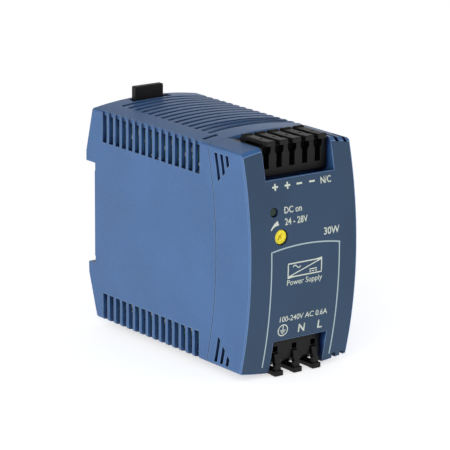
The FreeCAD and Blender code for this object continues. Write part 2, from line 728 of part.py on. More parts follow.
def varistor():
    return rod_z(-32.6, -28.8, -8.9, -51.3, 3.4)


def y_capacitor():
    return rod_y(-47.6, -43.8, -9.4, -2.2, 3.8)


def bridge_rectifier():
    return soft_box(BOARD_TOP + 2.6, -1.0, -43.0, -39.2, -21.0, -9.0, 0.4)


def primary_heatsink():
    upright = box(BOARD_TOP + 0.3, 13.0, -12.6, -10.6, -12.0, 16.0)
    foot = box(11.0, 13.0, -16.6, -10.6, -12.0, 16.0)
    return fuse([upright, foot])


def transistor(y_low, z_mid):
    """Power transistor: moulded body against a heatsink that lies behind it."""
    return soft_box(-9.0, 6.0, y_low, y_low + 4.3, z_mid - 5, z_mid + 5, 0.35)


def output_heatsink():
    upright = box(BOARD_TOP + 0.3, 13.0, -43.6, -41.8, 9.0, 31.0)
    foot = box(11.2, 13.0, -47.6, -41.8, 9.0, 31.0)
    return fuse([upright, foot])


def optocoupler():
    return soft_box(BOARD_TOP + 0.3, BOARD_TOP + 3.8, -51.2, -46.6, 2.6, 9.1, 0.2)


def smd_components():
    """Small chips on the solder side, in two rows behind the side vents."""
    chips = []
    x1 = MAIN_BOARD_X[0]
    for index in range(8):
        y = -60.5 + 6.1 * index
        size = 2.4 if index % 3 == 1 else 1.5
        chips.append(box(x1 - 0.75, x1, y, y + size, 29.2, 30.3))
        chips.append(box(x1 - 0.6, x1, y + 2.9, y + 3.9, 31.2, 32.9))
        chips.append(box(x1 - 0.75, x1, y + 0.6, y + 0.6 + size, -31.4, -30.2))
    chips.append(soft_box(x1 - 1.6, x1, -40, -35, -2, 3, 0.2))
    return chips


# ---------------------------------------------------------------- output
def write(name, shape):
    solids = shape if isinstance(shape, list) else shape.Solids
    for solid in solids:
        if not solid.isValid() or not solid.isClosed():
            print("not a closed valid solid:", name)
    result = solids[0] if len(solids) == 1 else Part.makeCompound(solids)
    result.exportStep("parts/" + name + ".step")
    print(name, len(solids), round(sum(s.Volume for s in solids), 2))


def main():
    os.makedirs("parts", exist_ok=True)
    outer = case_outer()
    cavity = case_cavity()
    write("housing_shell", housing_shell(outer, cavity))
    write("front_cover", front_cover(outer, cavity))
    write("front_label", front_label())
    write("latch_slider", latch_slider())
    write("latch_spring", latch_spring())
    write("output_terminal_block", output_terminal_block())
    write("input_terminal_block", input_terminal_block())
    for number, x in enumerate(OUT_POLES, start=1):
        write("output_lever_%d" % number, output_lever(x))
    for number, x in enumerate(IN_POLES, start=1):
        write("input_lever_%d" % number, input_lever(x))
    write("output_lever_axle", lever_axle(OUT_BLOCK_X, OUT_PIVOT_Y, PIVOT_Z))
    write("input_lever_axle", lower(lever_axle(IN_BLOCK_X, IN_PIVOT_Y, PIVOT_Z)))
    write("output_contact_bars", for_poles(OUT_POLES, contact_bar))
    write("input_contact_bars", for_poles(IN_POLES, contact_bar, below=True))
    write("output_clamp_springs", for_poles(OUT_POLES, clamp_spring))
    write("input_clamp_springs", for_poles(IN_POLES, clamp_spring, below=True))
    write("front_board", front_board())
    write("led_light_pipe", led_light_pipe())
    write("status_led", status_led())
    write("trimmer_body", trimmer_body())
    write("trimmer_rotor", trimmer_rotor())
    write("main_board", main_board())
    write("board_header", board_header())
    write("transformer_core", transformer_core())
    write("transformer_bobbin", transformer_bobbin())
    write("transformer_winding", transformer_winding())
    write("bulk_capacitor", bulk_capacitor())
    write("output_capacitors", output_capacitors())
    write("x_capacitor", x_capacitor())
    write("choke_core", choke_core())
    write("choke_windings", choke_windings())
    write("fuse_link", fuse_link())
    write("varistor", varistor())
    write("y_capacitor", y_capacitor())
    write("bridge_rectifier", bridge_rectifier())
    write("primary_heatsink", primary_heatsink())
    write("switching_transistor", transistor(-16.95, 2.0))
    write("output_heatsink", output_heatsink())
    write("output_diode", transistor(-47.95, 20.0))
    write("optocoupler", optocoupler())
    write("smd_components", smd_components())


main()
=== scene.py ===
"""DIN rail power supply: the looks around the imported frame. Metres, same axes as the frame."""

import json
import math
import random

import bmesh
import bpy
from mathutils import Matrix, Vector


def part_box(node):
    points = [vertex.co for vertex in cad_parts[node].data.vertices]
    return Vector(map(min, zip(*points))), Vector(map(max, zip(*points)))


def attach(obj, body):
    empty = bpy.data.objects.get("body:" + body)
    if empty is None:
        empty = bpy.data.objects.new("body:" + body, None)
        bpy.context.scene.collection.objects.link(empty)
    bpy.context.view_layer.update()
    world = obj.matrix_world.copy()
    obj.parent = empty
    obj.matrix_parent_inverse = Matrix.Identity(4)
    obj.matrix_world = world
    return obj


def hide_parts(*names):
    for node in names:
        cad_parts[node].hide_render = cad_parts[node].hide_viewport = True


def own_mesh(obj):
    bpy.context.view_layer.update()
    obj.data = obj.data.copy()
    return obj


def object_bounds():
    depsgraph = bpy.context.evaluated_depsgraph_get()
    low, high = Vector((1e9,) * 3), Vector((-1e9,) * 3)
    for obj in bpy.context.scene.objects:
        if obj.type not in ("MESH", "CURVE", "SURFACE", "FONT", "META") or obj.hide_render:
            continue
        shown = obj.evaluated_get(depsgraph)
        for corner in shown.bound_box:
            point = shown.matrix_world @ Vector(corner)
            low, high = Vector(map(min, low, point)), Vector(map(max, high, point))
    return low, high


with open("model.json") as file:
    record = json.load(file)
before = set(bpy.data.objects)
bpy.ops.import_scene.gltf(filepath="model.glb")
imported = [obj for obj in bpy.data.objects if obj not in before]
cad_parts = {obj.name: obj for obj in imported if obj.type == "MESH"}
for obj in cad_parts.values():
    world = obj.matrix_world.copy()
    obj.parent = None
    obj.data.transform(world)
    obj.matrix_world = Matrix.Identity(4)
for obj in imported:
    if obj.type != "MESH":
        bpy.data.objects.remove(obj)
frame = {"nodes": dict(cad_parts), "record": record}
cad_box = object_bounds()

MM = 0.001

# The front is an arc over the case's side height, as in the frame.
SIDE_HEIGHT = 75 * MM
FACE_BOW = 5 * MM
FACE_RADIUS = (SIDE_HEIGHT ** 2 / 4 + FACE_BOW ** 2) / (2 * FACE_BOW)
FACE_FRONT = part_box("front_cover")[0].y
FOIL_INSET = 0.05 * MM


def foil_y(z):
    """Y of the printed foil's outer surface at height z."""
    radius = FACE_RADIUS - FOIL_INSET
    return FACE_FRONT + FACE_RADIUS - math.sqrt(radius * radius - z * z)


# ---------------------------------------------------------------- materials
PAINTED_SHADE_REACH = 4 * MM            # hollows narrower than about this get painted shade

# Noise and pattern scales, in features per metre.
FLOW_CLOUDS = 55
BRUSH_LINES = 9000
HANDLING_MARKS = 260
FOIL_TONE = 38
FOIL_DOTS = 5200
FOIL_PEEL = 1900
INK_GRAIN = 3600
LENS_DEPTH = 900
COPPER_CELLS = 330
TINNED_DOTS = 240
GLASS_WEAVE = 1500
FERRITE_PITS = 2400
COATING_RIPPLE = 420
PAPER_FIBRES = 90
SPECK_SHARE = 0.45               # moulded specks are this much coarser than the grain


def srgb(red, green, blue):
    def linear(value):
        value /= 255
        return value / 12.92 if value <= 0.04045 else ((value + 0.055) / 1.055) ** 2.4
    return (linear(red), linear(green), linear(blue), 1.0)


def tint(colour, share):
    """The same colour, darker or paler by a share, at most white."""
    return tuple(min(1, channel * share) for channel in colour[:3]) + (1,)


class Look:
    """A material under construction: adds nodes and links them by socket name."""

    def __init__(self, name, **constants):
        self.material = bpy.data.materials.new(name)
        self.material.use_nodes = True
        self.tree = self.material.node_tree
        self.shader = self.tree.nodes["Principled BSDF"]
        for socket, value in constants.items():
            self.shader.inputs[socket.replace("_", " ")].default_value = value
        self.place = self.add("ShaderNodeTexCoord").outputs["Object"]
        self.soft = None

    def add(self, kind, settings=None, **inputs):
        node = self.tree.nodes.new(kind)
        for key, value in (settings or {}).items():
            setattr(node, key, value)
        for socket, value in inputs.items():
            target = node.inputs[socket.replace("_", " ")]
            if isinstance(value, bpy.types.NodeSocket):
                self.tree.links.new(value, target)
            else:
                target.default_value = value
        return node

    def link(self, output, socket):
        self.tree.links.new(output, self.shader.inputs[socket])

    def noise(self, scale, detail, place=None):
        return self.add(
            "ShaderNodeTexNoise", Scale=scale, Detail=detail, Vector=place or self.place
        ).outputs["Fac"]

    def stretched(self, x, y, z):
        return self.add(
            "ShaderNodeMapping", {"vector_type": "POINT"}, Vector=self.place, Scale=(x, y, z)
        ).outputs["Vector"]

    def ramp(self, factor, low, high, colour_low, colour_high):
        node = self.add("ShaderNodeValToRGB", Fac=factor)
        elements = node.color_ramp.elements
        elements[0].position = low
        elements[0].color = colour_low
        elements[1].position = high
        elements[1].color = colour_high
        return node.outputs["Color"]

    def mix(self, factor, first, second, blend="MIX"):
        node = self.add("ShaderNodeMix", {"data_type": "RGBA", "blend_type": blend})
        for index, value in ((0, factor), (6, first), (7, second)):
            if isinstance(value, bpy.types.NodeSocket):
                self.tree.links.new(value, node.inputs[index])
            else:
                node.inputs[index].default_value = value
        return node.outputs[2]

    def span(self, factor, low, high, source_low=0.3, source_high=0.7):
        return self.add(
            "ShaderNodeMapRange",
            Value=factor,
            From_Min=source_low,
            From_Max=source_high,
            To_Min=low,
            To_Max=high,
        ).outputs["Result"]

    def edges(self, radius, gain):
        """1 on sharp corners, which get a painted highlight and rubbed wear, 0 on flats. Its
        softened normal is kept for bump().
        """
        self.soft = self.add("ShaderNodeBevel", {"samples": 6}, Radius=radius).outputs["Normal"]
        sharp = self.add("ShaderNodeNewGeometry").outputs["Normal"]
        aligned = self.add("ShaderNodeVectorMath", {"operation": "DOT_PRODUCT"})
        self.tree.links.new(self.soft, aligned.inputs[0])
        self.tree.links.new(sharp, aligned.inputs[1])
        return self.add(
            "ShaderNodeMapRange",
            Value=aligned.outputs["Value"],
            From_Min=1.0,
            From_Max=1.0 - 1.0 / gain,
            To_Min=0.0,
            To_Max=1.0,
        ).outputs["Result"]

    def hollow_shade_mask(self, reach):
        """Ambient occlusion for painted shade: 1 in the open, falling towards 0 inside slots and
        hollows narrower than reach.
        """
        return self.add("ShaderNodeAmbientOcclusion", {"samples": 8}, Distance=reach).outputs["AO"]

    def bump(self, height, strength, distance):
        node = self.add("ShaderNodeBump", Strength=strength, Distance=distance, Height=height)
        if self.soft is not None:
            self.tree.links.new(self.soft, node.inputs["Normal"])
        self.link(node.outputs["Normal"], "Normal")


def moulded(
    name, colour, worn_and_highlight, grain, roughness, edge_radius=0.5 * MM, bump=0.35, shade_colour=None, **constants
):
    """Injection-moulded plastic: spark-eroded grain, flow clouds, paler edges that are painted
    highlight and rubbed wear, painted shade in hollows.
    """
    look = Look(name, **constants)
    clouds = look.noise(FLOW_CLOUDS, 3)
    base = look.ramp(clouds, 0.35, 0.68, tint(colour, 0.93), tint(colour, 1.06))
    specks = look.noise(grain * SPECK_SHARE, 1)
    base = look.mix(look.span(specks, 0.0, 0.04, 0.45, 0.75), base, worn_and_highlight)
    # Painted highlight and rubbed wear: sharp edges turn paler, towards the pale colour.
    base = look.mix(look.span(look.edges(edge_radius, 10.0), 0.0, 0.6, 0.0, 1.0), base, worn_and_highlight)
    # Painted shade: slots and hollows darken towards the shade colour.
    if shade_colour:
        shade = look.span(look.hollow_shade_mask(PAINTED_SHADE_REACH), 1.0, 0.0, 0.5, 0.93)
        base = look.mix(shade, base, shade_colour)
    look.link(base, "Base Color")
    fine = look.noise(grain, 3)
    look.link(look.span(fine, roughness - 0.07, roughness + 0.09), "Roughness")
    look.bump(fine, bump, 0.06 * MM)
    return look.material


def metal(name, colour, roughness, brushed=(1.0, 1.0, 1.0), tarnish=0.12):
    """Rolled or drawn metal: fine lines along one direction and light handling marks."""
    look = Look(name, Metallic=1.0)
    lines = look.noise(BRUSH_LINES, 3, look.stretched(*brushed))
    marks = look.noise(HANDLING_MARKS, 4)
    look.link(look.ramp(marks, 0.3, 0.7, tint(colour, 1 - 2 * tarnish), colour), "Base Color")
    look.link(look.span(lines, roughness - 0.08, roughness + 0.1), "Roughness")
    look.bump(lines, 0.25, 0.02 * MM)
    return look.material


def foil(name, colour):
    """Polyester front foil, printed on its back: satin, with a very fine orange peel."""
    look = Look(name, Coat_Weight=0.06, Coat_Roughness=0.35, Specular_IOR_Level=0.3)
    tone = look.noise(FOIL_TONE, 2)
    base = look.ramp(tone, 0.36, 0.66, tint(colour, 0.94), tint(colour, 1.06))
    dots = look.noise(FOIL_DOTS, 1)
    base = look.mix(look.span(dots, 0.0, 0.16, 0.5, 0.8), base, srgb(74, 102, 126))
    look.link(base, "Base Color")
    peel = look.noise(FOIL_PEEL, 3)
    look.link(look.span(peel, 0.40, 0.52), "Roughness")
    look.bump(peel, 0.18, 0.05 * MM)
    return look.material


def ink(name, colour):
    """Screen-printed ink, a little thin in places."""
    look = Look(name)
    thin = look.noise(INK_GRAIN, 3)
    look.link(look.ramp(thin, 0.28, 0.5, tint(colour, 0.86), colour), "Base Color")
    look.link(look.span(thin, 0.5, 0.62), "Roughness")
    look.bump(thin, 0.2, 0.02 * MM)
    return look.material


def tinted_lens(name):
    """Dark green indicator lens, glossy over a mottled tinted body."""
    look = Look(name, Coat_Weight=0.3, Coat_Roughness=0.06, Specular_IOR_Level=0.2)
    depth = look.noise(LENS_DEPTH, 2)
    look.link(look.ramp(depth, 0.3, 0.7, srgb(6, 22, 18), srgb(22, 50, 40)), "Base Color")
    look.link(look.span(depth, 0.16, 0.28), "Roughness")
    look.bump(depth, 0.1, 0.05 * MM)
    return look.material


def laminate(name):
    """Glass-fibre board under green mask: woven glass, paler copper runs and tinned dots."""
    look = Look(name, Coat_Weight=0.5, Coat_Roughness=0.22)
    cells = look.add(
        "ShaderNodeTexVoronoi",
        {"feature": "DISTANCE_TO_EDGE"},
        Scale=COPPER_CELLS,
        Vector=look.stretched(1, 1, 0.45),
    ).outputs["Distance"]
    runs = look.ramp(cells, 0.07, 0.1, srgb(24, 92, 52), srgb(14, 62, 36))
    dots = look.add(
        "ShaderNodeTexVoronoi", {"feature": "F1"}, Scale=TINNED_DOTS, Vector=look.place
    ).outputs["Distance"]
    tinned = look.ramp(dots, 0.13, 0.17, (1, 1, 1, 1), (0, 0, 0, 1))
    look.link(look.mix(tinned, runs, srgb(205, 205, 196)), "Base Color")
    weave = look.add(
        "ShaderNodeTexWave",
        {"wave_type": "BANDS", "bands_direction": "Z"},
        Scale=GLASS_WEAVE,
        Vector=look.place,
    ).outputs["Fac"]
    look.link(look.span(weave, 0.32, 0.42, 0.0, 1.0), "Roughness")
    look.bump(cells, 0.4, 0.05 * MM)
    return look.material


def ferrite(name, colour):
    """Pressed and ground ferrite: dull, with tiny pits and grinding lines."""
    look = Look(name, Specular_IOR_Level=0.6)
    pits = look.noise(FERRITE_PITS, 4)
    look.link(look.ramp(pits, 0.3, 0.62, tint(colour, 0.6), colour), "Base Color")
    look.link(look.span(pits, 0.45, 0.7), "Roughness")
    look.bump(pits, 0.6, 0.08 * MM)
    return look.material


def banded(name, colour, band, scale, direction, roughness, metallic=0.0):
    """Turns of wire or tape as fine bands across one direction."""
    look = Look(name, Metallic=metallic)
    turns = look.add(
        "ShaderNodeTexWave",
        {"wave_type": "BANDS", "bands_direction": direction},
        Scale=scale,
        Distortion=0.6,
        Detail=1.0,
        Vector=look.place,
    ).outputs["Fac"]
    look.link(look.ramp(turns, 0.1, 0.6, band, colour), "Base Color")
    look.link(look.span(turns, roughness - 0.08, roughness + 0.08, 0.0, 1.0), "Roughness")
    look.bump(turns, 0.8, 0.15 * MM)
    return look.material


def dipped(name, colour, roughness=0.24):
    """Glossy dipped or cast coating with a soft ripple."""
    look = Look(name, Coat_Weight=0.4, Coat_Roughness=0.1)
    ripple = look.noise(COATING_RIPPLE, 3)
    look.link(look.ramp(ripple, 0.3, 0.7, tint(colour, 0.75), colour), "Base Color")
    look.link(look.span(ripple, roughness - 0.05, roughness + 0.1), "Roughness")
    look.bump(ripple, 0.25, 0.3 * MM)
    return look.material


CASE_BLUE = srgb(56, 102, 157)
# Pale colour for the specks, the painted edge highlight and rubbed wear.
CASE_WORN_AND_HIGHLIGHT = srgb(142, 174, 214)
# Painted shade colour for the case's slots and hollows.
CASE_PAINTED_SHADE = srgb(6, 24, 66)
BLACK = srgb(20, 20, 21)
# Pale colour for the specks, the painted edge highlight and rubbed wear.
BLACK_WORN_AND_HIGHLIGHT = srgb(46, 46, 47)
# Painted shade colour for the terminals' channels and hollows.
BLACK_PAINTED_SHADE = srgb(6, 6, 7)

LOOKS = {
    "case_plastic": moulded(
        "case_blue", CASE_BLUE, CASE_WORN_AND_HIGHLIGHT, 2600, 0.42, shade_colour=CASE_PAINTED_SHADE, Specular_IOR_Level=0.5
    ),
    "face_foil": foil("front_foil", srgb(34, 62, 90)),
    "black_plastic": moulded(
        "terminal_black",
        BLACK,
        BLACK_WORN_AND_HIGHLIGHT,
        3200,
        0.42,
        edge_radius=0.3 * MM,
        shade_colour=BLACK_PAINTED_SHADE,
        Specular_IOR_Level=0.2,
    ),
    "pin_steel": metal("ground_steel", srgb(196, 196, 198), 0.28, (0.03, 1, 1)),
    "spring_steel": metal("spring_steel", srgb(188, 190, 194), 0.25, (1, 1, 0.04)),
    "tinned_copper": metal("tinned_copper", srgb(214, 206, 190), 0.32, (1, 0.05, 1)),
    "board_laminate": laminate("green_laminate"),
    "led_lens": tinted_lens("indicator_lens"),
    "led_chip": dipped("pale_ceramic", srgb(226, 226, 214), 0.35),
    "trimmer_yellow": moulded(
        "trimmer_yellow", srgb(240, 222, 30), srgb(244, 234, 120), 2600, 0.42, edge_radius=0.25 * MM
    ),
    "trimmer_housing": moulded("trimmer_blue", srgb(32, 62, 128), srgb(90, 120, 170), 2600, 0.45),
    "ferrite": ferrite("core_ferrite", srgb(62, 62, 64)),
    "bobbin_plastic": moulded("bobbin_phenolic", srgb(70, 56, 48), srgb(110, 94, 82), 2200, 0.5),
    "winding": banded("winding_tape", srgb(214, 178, 62), srgb(150, 118, 30), 620, "Z", 0.35),
    "capacitor_can": banded("can_sleeve", srgb(34, 38, 60), srgb(26, 28, 46), 90, "Z", 0.28),
    "film_box": dipped("film_box_yellow", srgb(214, 196, 92), 0.34),
    "choke_ring": ferrite("choke_green", srgb(66, 118, 84)),
    "choke_wire": banded("choke_copper", srgb(196, 108, 58), srgb(96, 44, 22), 780, "Y", 0.25, 0.85),
    "fuse_case": dipped("fuse_black", srgb(48, 48, 50), 0.3),
    "varistor_coat": dipped("varistor_blue", srgb(38, 92, 168), 0.36),
    "disc_coat": dipped("disc_blue", srgb(64, 128, 190), 0.34),
    "heatsink_metal": metal("heatsink_aluminium", srgb(206, 208, 210), 0.38, (0.04, 1, 1)),
    "chip_moulding": moulded("epoxy_moulding", srgb(42, 42, 44), srgb(90, 90, 92), 3000, 0.55),
}
PRINT_INK = ink("print_ink", srgb(202, 210, 199))
LINE_INK = ink("line_ink", srgb(164, 184, 190))
SOLDER = metal("solder", srgb(214, 214, 212), 0.22)


def dress_frame():
    """Every frame node takes the look of its own material slot."""
    slots = {part["node"]: part["material_slot"] for part in frame["record"]["subparts"]}
    for name, node in frame["nodes"].items():
        look = LOOKS[slots[name]]
        if not node.material_slots:
            node.data.materials.append(look)
        for slot in node.material_slots:
            slot.material = look


# ---------------------------------------------------------------- pieces
def finish_piece(name, mesh, look, body="case"):
    piece = bpy.data.objects.new(name, mesh)
    bpy.context.scene.collection.objects.link(piece)
    mesh.materials.clear()
    mesh.materials.append(look)
    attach(piece, body)
    return piece


def mesh_from(bm, name):
    bmesh.ops.recalc_face_normals(bm, faces=bm.faces)
    mesh = bpy.data.meshes.new(name)
    bm.to_mesh(mesh)
    bm.free()
    return mesh


# ---------------------------------------------------------------- prints on the foil
INK_THICKNESS = 0.035 * MM
INK_ROOT = 0.02 * MM
SHARPEST_MITRE = 0.4
CAPITAL_HEIGHT = 0.72            # of the built-in font, for a curve of size 1
LETTER_WEIGHT = 0.018            # how far an outline is fattened

# Name, text, left end, middle height, width, height of the capitals in mm, and weight.
LETTERING = (
    ("print_no_contact", "N/C", 8.2, 25.5, 4.4, 2.3, LETTER_WEIGHT),
    ("print_dc_on", "DC on", -7.7, 17.7, 7.3, 2.2, LETTER_WEIGHT),
    ("print_range", "24 - 28V", -7.7, 13.85, 9.5, 2.3, LETTER_WEIGHT),
    ("print_power", "30W", 8.4, 8.4, 6.6, 2.5, LETTER_WEIGHT),
    ("print_kind", "Power Supply", -6.9, -7.1, 14.7, 2.0, 0.0),
    ("print_input", "100-240V AC 0.6A", -8.8, -19.8, 20.0, 2.0, 0.01),
    ("print_neutral", "N", -0.5, -24.1, 2.7, 3.0, LETTER_WEIGHT),
    ("print_line_pole", "L", 7.7, -24.1, 2.0, 3.0, LETTER_WEIGHT),
)


def on_foil(x, z, depth):
    """A point of a print: x and z on the face, depth 0 outside and 1 at its root."""
    y = foil_y(z) - INK_THICKNESS + depth * (INK_THICKNESS + INK_ROOT)
    return Vector((x, y, z))


def finish_print(name, bm, look=PRINT_INK):
    return finish_piece(name, mesh_from(bm, name), look)


def print_outline(bm, outline):
    """A flat closed shape on the foil, given as (x, z) points in metres, as a thin solid."""
    front = [bm.verts.new(on_foil(x, z, 0)) for x, z in outline]
    back = [bm.verts.new(on_foil(x, z, 1)) for x, z in outline]
    bm.faces.new(front)
    bm.faces.new(list(reversed(back)))
    count = len(outline)
    for i in range(count):
        j = (i + 1) % count
        bm.faces.new((front[i], back[i], back[j], front[j]))


def print_ribbon(bm, path, widths, closed=False):
    """A stroke along (x, z) points in metres, with one width or a width for each point."""
    count = len(path)
    if not hasattr(widths, "__len__"):
        widths = [widths] * count
    rows = []
    for i, (x, z) in enumerate(path):
        before = path[i - 1] if i or closed else path[0]
        after = path[(i + 1) % count] if i + 1 < count or closed else path[-1]
        along = Vector((after[0] - before[0], after[1] - before[1])).normalized()
        first = Vector((x - before[0], z - before[1]))
        mitre = 1.0
        if first.length > 1e-9:
            mitre = max(SHARPEST_MITRE, abs(along.dot(first.normalized())))
        side = Vector((-along.y, along.x)) * widths[i] / 2 / mitre
        corners = ((x + side.x, z + side.y), (x - side.x, z - side.y))
        rows.append([bm.verts.new(on_foil(*c, depth)) for depth in (0, 1) for c in corners])
    last = count if closed else count - 1
    for i in range(last):
        a = rows[i]
        b = rows[(i + 1) % count]
        for p, q in ((0, 1), (1, 3), (3, 2), (2, 0)):
            bm.faces.new((a[p], a[q], b[q], b[p]))
    if not closed:
        for row in (rows[0], rows[-1]):
            bm.faces.new((row[0], row[1], row[3], row[2]))


def arc_points(x, z, radius, start, end, steps):
    """Points on a circle in the face, angles in degrees."""
    angles = [math.radians(start + (end - start) * i / steps) for i in range(steps + 1)]
    return [(x + radius * math.cos(a), z + radius * math.sin(a)) for a in angles]


def straight(start, end, steps):
    return [
        (start[0] + (end[0] - start[0]) * i / steps, start[1] + (end[1] - start[1]) * i / steps)
        for i in range(steps + 1)
    ]


def in_mm(points):
    return [(x * MM, z * MM) for x, z in points]


def print_text(name, text, x, z, width, height, weight):
    """Plain sans lettering, width long from x, with its capitals centred on z."""
    curve = bpy.data.curves.new(name, "FONT")
    curve.body = text
    curve.offset = weight
    curve.resolution_u = 3
    carrier = bpy.data.objects.new(name, curve)
    bpy.context.scene.collection.objects.link(carrier)
    bpy.context.view_layer.update()
    flat = bpy.data.meshes.new_from_object(carrier)
    bpy.data.objects.remove(carrier)
    bm = bmesh.new()
    bm.from_mesh(flat)
    bpy.data.meshes.remove(flat)
    bmesh.ops.remove_doubles(bm, verts=bm.verts, dist=1e-5)
    low_u = min(v.co.x for v in bm.verts)
    high_u = max(v.co.x for v in bm.verts)
    grown = bmesh.ops.extrude_face_region(bm, geom=bm.faces[:])
    back = {v for v in grown["geom"] if isinstance(v, bmesh.types.BMVert)}
    for v in bm.verts:
        px = (x + (v.co.x - low_u) / (high_u - low_u) * width) * MM
        pz = (z - height / 2 + v.co.y / CAPITAL_HEIGHT * height) * MM
        v.co = on_foil(px, pz, 1 if v in back else 0)
    finish_print(name, bm)


def terminal_marks():
    """Plus and minus signs over the output poles."""
    bm = bmesh.new()
    z = 25.6
    half = 1.15
    arm = 0.31
    for x, plus in ((-10.7, True), (-5.6, True), (-0.65, False), (4.65, False)):
        if plus:
            cross = [
                (-half, -arm), (-arm, -arm), (-arm, -half), (arm, -half), (arm, -arm), (half, -arm),
                (half, arm), (arm, arm), (arm, half), (-arm, half), (-arm, arm), (-half, arm),
            ]
        else:
            cross = [(-half, -arm), (half, -arm), (half, arm), (-half, arm)]
        print_outline(bm, in_mm((x + px, z + pz) for px, pz in cross))
    finish_print("print_output_signs", bm)


def earth_mark():
    """Protective earth sign: a ring with a stem and three shrinking bars."""
    bm = bmesh.new()
    x = -7.05
    z = -23.85
    ring = arc_points(x, z, 1.95, 0, 345, 23)
    print_ribbon(bm, in_mm(ring), 0.36 * MM, closed=True)
    print_ribbon(bm, in_mm([(x, z + 1.8), (x, z + 0.1)]), 0.34 * MM)
    for half, drop in ((1.2, 0.05), (0.75, 0.62), (0.32, 1.15)):
        print_ribbon(bm, in_mm([(x - half, z - drop), (x + half, z - drop)]), 0.3 * MM)
    finish_print("print_earth_sign", bm)


def turn_arrow():
    """Wedge arrow round the trimmer's upper left, growing towards its head."""
    bm = bmesh.new()
    low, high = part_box("trimmer_rotor")
    x = (low.x + high.x) / 2
    z = (low.z + high.z) / 2
    steps = 12
    path = arc_points(x, z, 5.1 * MM, 146, 103, steps)
    widths = [(0.42 + 1.25 * (i / steps) ** 1.6) * MM for i in range(steps + 1)]
    print_ribbon(bm, path, widths)
    finish_print("print_turn_arrow", bm)


def frame_line():
    """Thin line round the lower panel, with an arched top."""
    bm = bmesh.new()
    left = -13.5
    right = 14.9
    top_left = 4.2
    top_right = 3.9
    low = -36.5
    rise = 1.3
    steps = 24
    path = straight((left, low), (left, top_left), steps)
    for i in range(1, steps):
        t = i / steps
        level = top_left + (top_right - top_left) * t
        path.append((left + (right - left) * t, level + 4 * rise * t * (1 - t)))
    path += straight((right, top_right), (right, low), steps)
    print_ribbon(bm, in_mm(path), 0.46 * MM)
    finish_print("print_panel_line", bm, LINE_INK)


def converter_symbol():
    """Standard drawing sign of an AC to DC converter: a box cut by a diagonal, a wave, two bars."""
    bm = bmesh.new()
    left = -6.6
    right = 7.4
    low = -5.3
    high = -0.7
    box = [(left, low), (right, low), (right, high), (left, high)]
    outline = []
    for start, end in zip(box, box[1:] + box[:1]):
        outline += straight(start, end, 6)[:-1]
    print_ribbon(bm, in_mm(outline), 0.42 * MM, closed=True)
    diagonal = straight((left + 0.3, low + 0.2), (right - 0.3, high - 0.2), 6)
    print_ribbon(bm, in_mm(diagonal), 0.36 * MM)
    fine = 0.34 * MM
    steps = 24
    wave = [
        (-4.6 + 3.2 * i / steps, -1.95 + 0.5 * math.sin(2 * math.pi * i / steps))
        for i in range(steps + 1)
    ]
    print_ribbon(bm, in_mm(wave), fine)
    print_ribbon(bm, in_mm(straight((2.3, -3.75), (5.5, -3.75), 2)), fine)
    for i in range(3):
        dash = straight((2.3 + 1.2 * i, -4.5), (3.1 + 1.2 * i, -4.5), 1)
        print_ribbon(bm, in_mm(dash), fine)
    finish_print("print_converter_sign", bm)


def prints():
    terminal_marks()
    for row in LETTERING:
        print_text(*row)
    turn_arrow()
    earth_mark()
    frame_line()
    converter_symbol()


# ---------------------------------------------------------------- spring
def return_spring():
    """Latch spring with closed ends: the pitch opens out away from both ends."""
    low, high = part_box("latch_spring")
    centre = (low + high) / 2
    wire = 0.18 * MM                 # radius of the wire
    radius = (high.x - low.x) / 2 - wire
    turns = 9
    steps = 28                       # rings in a turn
    sides = 10
    height = high.z - low.z - 2 * wire
    dead = 0.9                       # turns that lie closed at each end
    tip = 0.8                        # the wire's thickness at its very ends
    bm = bmesh.new()
    rings = []
    total = turns * steps
    for i in range(total + 1):
        turn = i / steps
        ends = min(1.0, turn / dead, (turns - turn) / dead)
        climbed = (turn - dead) / (turns - 2 * dead)
        level = 2 * wire * min(turn, dead) + max(0.0, min(1.0, climbed)) * (height - 4 * wire * dead)
        level += 2 * wire * max(0.0, turn - (turns - dead))
        angle = 2 * math.pi * turn
        out = Vector((math.cos(angle), math.sin(angle), 0))
        middle = Vector((centre.x, centre.y, low.z + wire + level)) + out * radius
        thickness = wire * (tip + (1 - tip) * ends)
        ring = []
        for k in range(sides):
            a = 2 * math.pi * k / sides
            spoke = out * math.cos(a) + Vector((0, 0, 1)) * math.sin(a)
            ring.append(bm.verts.new(middle + spoke * thickness))
        rings.append(ring)
    for first, second in zip(rings, rings[1:]):
        for k in range(sides):
            n = (k + 1) % sides
            bm.faces.new((first[k], first[n], second[n], second[k]))
    bm.faces.new(rings[0])
    bm.faces.new(list(reversed(rings[-1])))
    for face in bm.faces:
        face.smooth = True
    look = LOOKS["spring_steel"]
    coil = finish_piece("return_coil", mesh_from(bm, "return_coil"), look)
    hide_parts("latch_spring")
    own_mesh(coil)


# ---------------------------------------------------------------- board details
def dome(bm, x, y, z, radius, height, stretch):
    """A low solder joint standing on the board's -X side, closed underneath."""
    rings = []
    segments = 10
    levels = 4
    turns = [2 * math.pi * k / segments for k in range(segments)]
    for level in range(levels):
        angle = math.pi / 2 * level / levels
        r = radius * math.cos(angle)
        out = height * math.sin(angle)
        ring = [(x - out, y + r * math.cos(a), z + stretch * r * math.sin(a)) for a in turns]
        rings.append([bm.verts.new(point) for point in ring])
    tip = bm.verts.new((x - height, y, z))
    bm.faces.new(rings[0])
    for first, second in zip(rings, rings[1:]):
        for k in range(segments):
            n = (k + 1) % segments
            bm.faces.new((first[k], first[n], second[n], second[k]))
    for k in range(segments):
        bm.faces.new((rings[-1][k], rings[-1][(k + 1) % segments], tip))


SOLDER_ROWS = (27.4, 24.9, -27.2, -24.0, 12.0, -12.5)
SOLDER_PITCH = 3.1
SOLDER_CHANCE = 0.8              # share of the places that hold a joint
SOLDER_FIRST = 4
SOLDER_LAST = 3                  # bare edges at the board's front and back
SOLDER_ROOT = 0.02


